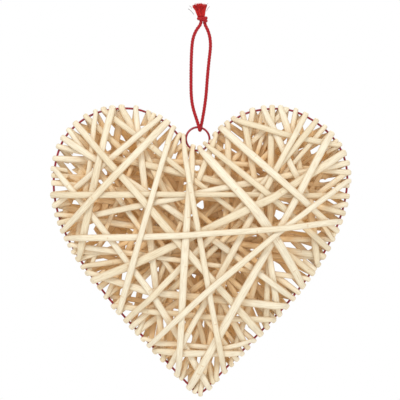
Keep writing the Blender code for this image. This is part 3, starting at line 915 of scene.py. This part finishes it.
def strip_piece(name, strip, weave, rng):
    """The strip's mesh: a flat grid bent round a half-round section, with its seam and ends closed."""
    stations = strip.stations()

    def fetch(values):
        return read_at(stations, strip.along, values if values.ndim > 1 else values[:, None])

    angle = np.linspace(0, math.tau, SECTION_SIDES, endpoint=False)
    cos, sin = np.cos(angle)[:, None], np.sin(angle)[:, None]
    sideways = np.sign(cos) * np.abs(cos) ** SECTION_SHOULDERS / 2
    upright = np.where(sin > 0, strip.crown * np.abs(sin), -strip.flat * np.abs(sin) ** SECTION_FLATNESS)
    from_end = np.clip(np.minimum(stations, stations[-1] - stations) / END_LENGTH, 0, 1)
    thinning = (END_THINNING + (1 - END_THINNING) * from_end)[:, None, None]
    slant = np.zeros((len(stations), 1, 1))
    slant[0] = rng.choice((-1, 1)) * END_SLANT
    slant[-1] = rng.choice((-1, 1)) * END_SLANT
    place, run = fetch(strip.place)[:, None], fetch(strip.run)[:, None]
    side, outer = unit(fetch(strip.side))[:, None], unit(fetch(strip.outer))[:, None]
    width, thickness = fetch(strip.width)[:, :, None], fetch(strip.thickness)[:, :, None] * thinning
    corners = place + (side + run * slant) * width * sideways + outer * thickness * upright
    # Painted shade: which way each corner faces picks the side of the weave that its depth is read from, and
    # that depth darkens its colour
    facing_back = np.clip(0.5 + (side * cos + outer * sin)[:, :, 1] * FACING_CONTRAST, 0, 1)

    made, ring, corner = bent_grid(name, corners)
    keep_attribute(made.data, "burial", weave.burial(corners, facing_back)[ring, corner % SECTION_SIDES])
    keep_attribute(made.data, "tone", np.interp(stations, strip.along, strip.tone)[ring])
    # The section's edges, kept for the willow's colour to darken as painted shade
    keep_attribute(made.data, "edge", (np.abs(sideways[:, 0]) * 2)[corner % SECTION_SIDES] ** EDGE_SHADE_SHARPNESS)
    lay_grain(made.data, stations[ring] / GRAIN_UNIT + rng.uniform(0, GRAIN_OFFSETS), corner / SECTION_SIDES)
    in_edit_mode(made, merge_doubles, close_ends, point_outwards)
    bpy.ops.object.shade_smooth_by_angle(angle=math.radians(SMOOTH_SHADED))
    return made


def bent_grid(name, corners):
    """A grid whose rows lie round the strip, and for each of its points the number of its ring and corner."""
    rings, sides = corners.shape[:2]
    bpy.ops.object.select_all(action="DESELECT")
    bpy.ops.mesh.primitive_grid_add(x_subdivisions=rings - 1, y_subdivisions=sides, size=1)
    made = bpy.context.view_layer.objects.active
    made.name = name
    made.data.name = name
    flat = np.zeros(len(made.data.vertices) * 3)
    made.data.vertices.foreach_get("co", flat)
    flat = flat.reshape(-1, 3)
    ring = np.round((flat[:, 0] + 0.5) * (rings - 1)).astype(int)
    corner = np.round((flat[:, 1] + 0.5) * sides).astype(int)
    made.data.vertices.foreach_set("co", (corners[ring, corner % sides] * MM).ravel())
    return made, ring, corner


def lay_grain(mesh, along, around):
    """Fills the strip's map, on which the grain runs: along the strip and round its section."""
    strip_map = mesh.uv_layers.active
    strip_map.name = "strip"
    vertices = np.zeros(len(mesh.loops), int)
    mesh.loops.foreach_get("vertex_index", vertices)
    strip_map.data.foreach_set("uv", np.stack([along[vertices], around[vertices]], axis=1).ravel())


# The finer strips deep inside


def tucked_wrap(share, width, side, turn):
    """Rough stations of an inner strip's end: tucked in on one side of the heart, then round the wire."""
    place, out = rim_place(share)
    across = turn * np.array([-out[1], 0.0, out[0]]) * width
    tuck = place - out * INNER_TUCK
    stations = [((tuck[0], side * INNER_WRAP, tuck[1]), across, (0, side, 0))]
    for angle in np.radians(INNER_WRAP_TURN):
        spot = place + out * INNER_WRAP * math.cos(angle)
        normal = (out[0] * math.cos(angle), -side * math.sin(angle), out[1] * math.cos(angle))
        stations.append(((spot[0], -side * INNER_WRAP * math.sin(angle), spot[1]), across, normal))
    return stations


def inner_line(start, end, width, side, level, weave):
    """An inner strip's rough line, from wrap to wrap under the others: in front at side 1, behind at -1."""
    first = tucked_wrap(start, width, side, 1)
    last = tucked_wrap(end, width, side, -1)[::-1]
    a, b = rim_spot(start), rim_spot(end)
    length = np.linalg.norm(b - a)
    run = (b - a) / length
    across = np.array([run[1], 0.0, -run[0]]) * width
    if across.dot(first[-1][1]) < 0:
        across = -across
    if across.dot(last[0][1]) < 0:
        last = [(place, -width_across, normal) for place, width_across, normal in last]
    steps = np.arange(INNER_DIP, length - INNER_DIP, INNER_STEP)
    spots = np.insert(a + (b - a) * (steps / length)[:, None], 1, 0, axis=1)
    heights = weave.inner[0 if side > 0 else 1][weave.cell(spots)] * level - INNER_BELOW
    heights = averaged(steps, heights[:, None], np.full(len(steps), INNER_EVENING))[:, 0]
    middle = []
    for spot, height in zip(spots, np.maximum(heights, INNER_WRAP)):
        middle.append(((spot[0], -side * height, spot[2]), across, (0, -side, 0)))
    return tuple(np.array(part, float) for part in zip(*(first + middle + last)))


def near_line(places, a, b, reach):
    """Which places are within reach of the straight line between two points."""
    run = b - a
    t = np.clip((places - a) @ run / run.dot(run), 0, 1)
    return np.linalg.norm(places - a - t[:, None] * run, axis=1) < reach


def keeps_inside(a, b):
    """Whether the way between two places on the outline is long enough, and inside and off it in between."""
    length = np.linalg.norm(b - a)
    if length < INNER_SHORTEST:
        return False
    margin = INNER_MARGIN / length
    spots = a + np.linspace(margin, 1 - margin, INNER_READINGS)[:, None] * (b - a)
    nearest = np.linalg.norm(spots[:, None] - RIM[::6], axis=2).min()
    return inside_rim(spots).all() and nearest >= INNER_RIM_GAP


def cover_cells():
    """The middles of square cells all over the inside of the outline."""
    across, up = (np.arange(low, high, COVER_CELL) for low, high in zip(RIM.min(axis=0), RIM.max(axis=0)))
    cells = np.array([(x, z) for x in across for z in up])
    return cells[inside_rim(cells)]


def layers_over(cells, strips):
    """How many passes of the strips lie over each cell."""
    layers = np.zeros(len(cells))
    for strip in strips:
        numbers = strip.passes()
        for number in range(numbers[-1] + 1):
            places = strip.place[numbers == number][::COVER_STRIDE, [0, 2]]
            nearest = np.linalg.norm(cells[:, None] - places, axis=2).min(axis=1)
            layers += nearest < strip.width.mean() / 2
    return layers


def bare_shares():
    """Where round the outline the bare places are."""
    places = (np.array(BARE_PLACES) - NAIL_PIXEL) * (PIXEL, -PIXEL)
    nearest = np.linalg.norm(places[:, None] - RIM, axis=2).argmin(axis=1)
    return RIM_ALONG[nearest] / RIM_ALONG[-1]


def free_ends(taken):
    """Where an inner strip may have a wrap of its own: clear of the taken places and of the bare ones."""
    bare = bare_shares()
    ends = []
    for share in np.arange(END_FIRST, 1 - END_FIRST, END_STEP):
        if np.abs(taken - share).min() > WRAP_ROOM and np.abs(bare - share).min() > BARE_ROOM:
            ends.append(share)
    return ends


def inner_ways(strips, cells):
    """Every way that an inner strip may take: its two ends, what they are worth, and the cells it covers."""
    taken = np.concatenate([strip.wrap_shares() for strip in strips])
    ends = [(share, 0.0) for share in taken]
    ends += [(share, OWN_WRAP_WORTH) for share in free_ends(taken)]
    gaps = np.array(GAPS)
    ways, worths, covers = [], [], []
    for number, (start, start_worth) in enumerate(ends):
        for end, end_worth in ends[number + 1 :]:
            a, b = rim_spot(start), rim_spot(end)
            if keeps_inside(a, b) and not near_line(gaps, a, b, GAP_REACH).any():
                ways.append((start, end))
                worths.append(start_worth + end_worth)
                covers.append(near_line(cells, a, b, sum(INNER_WIDTHS) / 4))
    return np.array(ways), np.array(worths), np.array(covers, float)


def inner_strips(strips, weave, rng):
    """Picks the inner strips one by one, each where it closes the thinnest part of the weave so far."""
    cells = cover_cells()
    layers = layers_over(cells, strips)
    ways, worths, covers = inner_ways(strips, cells)
    free = np.ones(len(ways), bool)
    inner = []
    while free.any() and len(inner) < INNER_MOST:
        cell_worth = np.where(layers == 0, BARE_WORTH, np.where(layers == 1, THIN_WORTH, THICK_WORTH))
        best = int(np.argmax(np.where(free, covers @ cell_worth + worths, -np.inf)))
        layers += covers[best]
        for share in ways[best]:
            free &= (np.abs(ways - share) > WRAP_ROOM).all(axis=1)
        width = rng.uniform(*INNER_WIDTHS)
        side = 1 if len(inner) % 2 else -1
        level = rng.uniform(*INNER_LEVELS)
        line = inner_line(*ways[best], width, side, level, weave)
        inner.append(Strip(line, rng, INNER_CROWN, INNER_FLAT))
    return inner


def make_strips():
    """The twelve strands in place of their solids, and the finer strips inside."""
    rng = np.random.default_rng(STRIP_SEED)
    willow = peeled_willow()
    names = sorted(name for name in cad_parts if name.startswith("willow_strand"))
    strands = [Strip(solid_line(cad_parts[name]), rng) for name in names]
    weave = Weave(strands)
    inner = inner_strips(strands, weave, rng)
    for name, strip in zip(names, strands):
        dress(strip_piece(name.replace("willow_strand", "strip"), strip, weave, rng), willow, "willow", name)
    for number, strip in enumerate(inner, start=1):
        dress(strip_piece(f"inner_strip_{number:02d}", strip, weave, rng), willow, "willow")


# The camera, the light and the floor


def set_camera():
    centre_x, centre_z = VIEW_CENTRE
    place = (centre_x, -VIEW_DISTANCE, centre_z)
    bpy.ops.object.camera_add(location=place, rotation=(math.pi / 2, 0, 0))
    camera = bpy.context.object
    camera.data.sensor_width = SENSOR
    camera.data.lens = SENSOR * VIEW_DISTANCE / VIEW_WIDTH
    bpy.context.scene.camera = camera
    bpy.context.scene.view_settings.view_transform = "Standard"


def set_sky():
    """An even sky, white to the camera, that lights a little less than it shows."""
    world = bpy.data.worlds.new("studio")
    world.use_nodes = True
    bpy.context.scene.world = world
    backing = world.node_tree.nodes["Background"]
    backing.inputs["Color"].default_value = (1, 1, 1, 1)
    rays = world.node_tree.nodes.new("ShaderNodeLightPath")
    level = world.node_tree.nodes.new("ShaderNodeMapRange")
    level.inputs["To Min"].default_value = SKY_LIGHT
    level.inputs["To Max"].default_value = 1.0
    world.node_tree.links.new(rays.outputs["Is Camera Ray"], level.inputs["Value"])
    world.node_tree.links.new(level.outputs["Result"], backing.inputs["Strength"])


def set_lamps():
    centre_x, centre_z = VIEW_CENTRE
    for name, place, size, power in LAMPS:
        bpy.ops.object.light_add(type="AREA", location=place)
        lamp = bpy.context.object
        lamp.name = name
        lamp.data.shape = "DISK"
        lamp.data.size = size
        lamp.data.energy = power
        aim = Vector((centre_x, 0, centre_z)) - Vector(place)
        lamp.rotation_euler = aim.to_track_quat("-Z", "Y").to_euler()


def make_floor():
    bpy.ops.object.select_all(action="DESELECT")
    bpy.ops.mesh.primitive_circle_add(
        vertices=FLOOR_SIDES, radius=FLOOR_RADIUS, fill_type="NGON", location=(0, 0, FLOOR_HEIGHT),
    )
    made = bpy.context.object
    made.name = "floor"
    finish = Finish("pale_floor", Base_Color=(0.86, 0.86, 0.85, 1), Roughness=0.7)
    made.data.materials.append(finish.material)


set_camera()
set_sky()
set_lamps()
make_floor()
make_cord()
make_wire()
make_strips()
